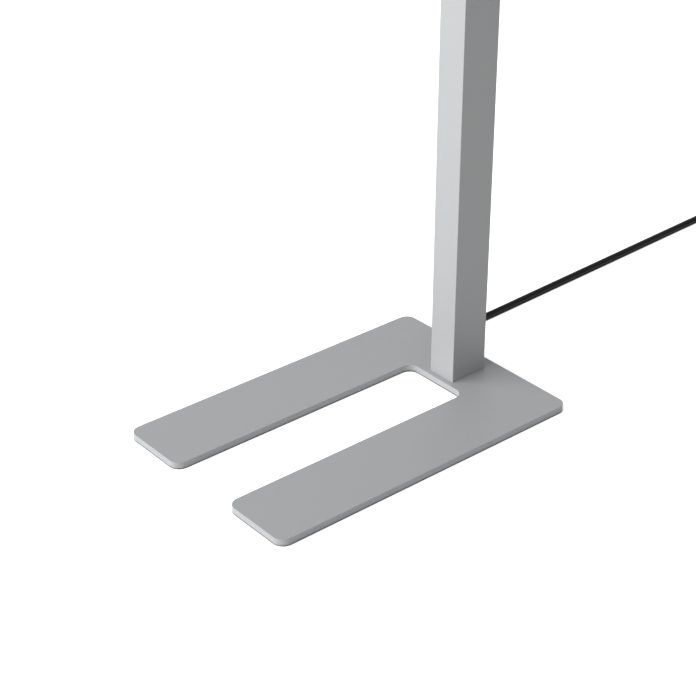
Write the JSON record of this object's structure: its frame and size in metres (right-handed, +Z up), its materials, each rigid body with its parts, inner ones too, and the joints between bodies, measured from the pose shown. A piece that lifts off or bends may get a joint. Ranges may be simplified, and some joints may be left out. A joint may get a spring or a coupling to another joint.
{
  "type": "floor lamp",
  "caption": "Office floor lamp: flat U-shaped base, rectangular post, slim swivelling head that lights down and up, push buttons on the post, mains cord with coil and plug.",
  "frame": {"origin": "on the floor, under the post's axis: the underside of the middle foot pad", "axes": "+Z up along the post; -Y the way the base's arms and the head point; +Y the way the mains cord runs; +X to the right of someone who looks along +Y"},
  "size_m": [0.3, 1.3058, 1.95],
  "materials": {
    "base_paint": "fine-texture silver-grey powder coat on steel, satin",
    "post_paint": "fine-texture silver-grey powder coat on extruded aluminium, satin",
    "head_paint": "fine-texture silver-grey powder coat on aluminium, satin",
    "pad_rubber": "moulded rubber, matt",
    "boot_rubber": "moulded soft PVC, matt",
    "cord_sheath": "extruded PVC sheath, satin",
    "black_plastic": "moulded, fine texture",
    "button_plastic": "moulded, satin",
    "plug_plastic": "moulded PVC, matt",
    "zinc_steel": "zinc plated",
    "sheet_steel": "galvanised sheet",
    "mill_aluminium": "machined",
    "plated_brass": "nickel-plated brass",
    "yellow_brass": "machined",
    "white_plastic": "moulded, matt",
    "lens_plastic": "moulded lens, satin",
    "wire_black": "PVC, satin",
    "wire_earth": "PVC, green and yellow",
    "board_green": "solder mask, satin",
    "board_white": "white solder mask, satin",
    "lamp_phosphor": "phosphor in silicone",
    "opal_acrylic": "opal acrylic, matt",
    "clear_acrylic": "clear acrylic with micro prisms",
    "tie_fabric": "hook-and-loop strap"
  },
  "bodies": {
    "stand": {"base_plate": "base_paint", "foot_pads": "pad_rubber", "base_screws": "zinc_steel", "post_foot_block": "mill_aluminium", "foot_side_screws": "zinc_steel", "earth_screw": "yellow_brass", "earth_lead": "wire_earth", "post_tube": "post_paint", "cord_gland": "black_plastic", "gland_nut": "black_plastic", "cord_boot": "boot_rubber", "inner_mains_lead": "cord_sheath", "terminal_block": "white_plastic", "gear_tray": "sheet_steel", "tray_screws": "zinc_steel", "driver": "white_plastic", "driver_input_lead": "wire_black", "low_voltage_riser": "wire_black", "control_bezel": "black_plastic", "button_board": "board_green", "tact_switches": "black_plastic", "status_light_pipe": "clear_acrylic", "post_top_block": "post_paint", "top_side_screws": "zinc_steel", "stop_pin": "zinc_steel", "thrust_washer": "white_plastic", "mains_cord": "cord_sheath", "cord_coil": "cord_sheath", "coil_tie": "tie_fabric", "plug_sleeve": "boot_rubber", "plug_body": "plug_plastic", "plug_pins": "plated_brass"},
    "head": {"swivel_spigot": "mill_aluminium", "friction_washer": "sheet_steel", "ring_nut": "mill_aluminium", "spigot_screws": "zinc_steel", "swivel_plate": "mill_aluminium", "head_housing": "head_paint", "head_cover": "head_paint", "cover_screws": "zinc_steel", "led_chassis": "mill_aluminium", "chassis_screws": "zinc_steel", "reflector_frame": "white_plastic", "down_led_boards": "board_white", "down_leds": "lamp_phosphor", "up_led_boards": "board_white", "up_leds": "lamp_phosphor", "opal_sheet": "opal_acrylic", "prism_panel": "clear_acrylic", "uplight_windows": "clear_acrylic", "light_controller": "board_green", "head_lead": "wire_black", "sensor_body": "white_plastic", "sensor_lens": "lens_plastic", "sensor_ring": "head_paint"},
    "on_off_key": {"power_button": "button_plastic"},
    "brighter_key": {"brighter_button": "button_plastic"},
    "dimmer_key": {"dimmer_button": "button_plastic"}
  },
  "joints": [
    {"name": "head_swivel", "type": "hinge", "parent": "stand", "child": "head", "pos_m": [0, 0, 1.926], "axis": [0, 0, 1], "range_deg": [-90, 90]},
    {"name": "on_off_press", "type": "slide", "parent": "stand", "child": "on_off_key", "axis": [0, 1, 0], "range_m": [0, 0.0008], "stiffness_N_per_m": 1500, "springref_m": -0.0005},
    {"name": "brighter_press", "type": "slide", "parent": "stand", "child": "brighter_key", "axis": [0, 1, 0], "range_m": [0, 0.0008], "stiffness_N_per_m": 1500, "springref_m": -0.0005},
    {"name": "dimmer_press", "type": "slide", "parent": "stand", "child": "dimmer_key", "axis": [0, 1, 0], "range_m": [0, 0.0008], "stiffness_N_per_m": 1500, "springref_m": -0.0005}
  ]
}
